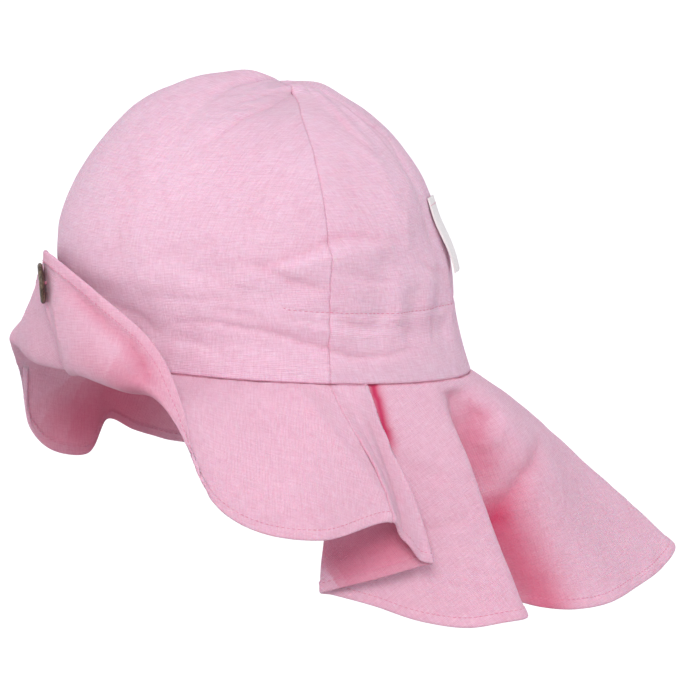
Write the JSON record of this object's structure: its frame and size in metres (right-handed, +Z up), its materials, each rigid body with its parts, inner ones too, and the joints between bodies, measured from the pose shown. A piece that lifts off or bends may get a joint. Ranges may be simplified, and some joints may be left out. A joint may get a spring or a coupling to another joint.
{
  "type": "baby sun hat",
  "caption": "Baby's linen sun hat in its worn shape: a panelled crown, a brim buttoned up at the front and a long pleated neck flap.",
  "frame": {"origin": "middle of the seam that joins the crown to the brim, where the hat sits round the head", "axes": "+Z up through the crown, -Y to the front, where the brim is buttoned up, +X to the wearer's left"},
  "size_m": [0.2282, 0.3187, 0.2477],
  "materials": {
    "crown_front": "matte woven linen",
    "crown_back": "matte woven linen",
    "front_brim": "matte woven linen",
    "neck_flap": "matte woven linen",
    "button": "satin, dark brown and speckled",
    "label": "matte woven ribbon, bare"
  },
  "bodies": {
    "root": {"crown_front": "crown_front", "crown_back": "crown_back", "front_brim": "front_brim", "neck_flap": "neck_flap", "button": "button", "label": "label"}
  },
  "joints": []
}
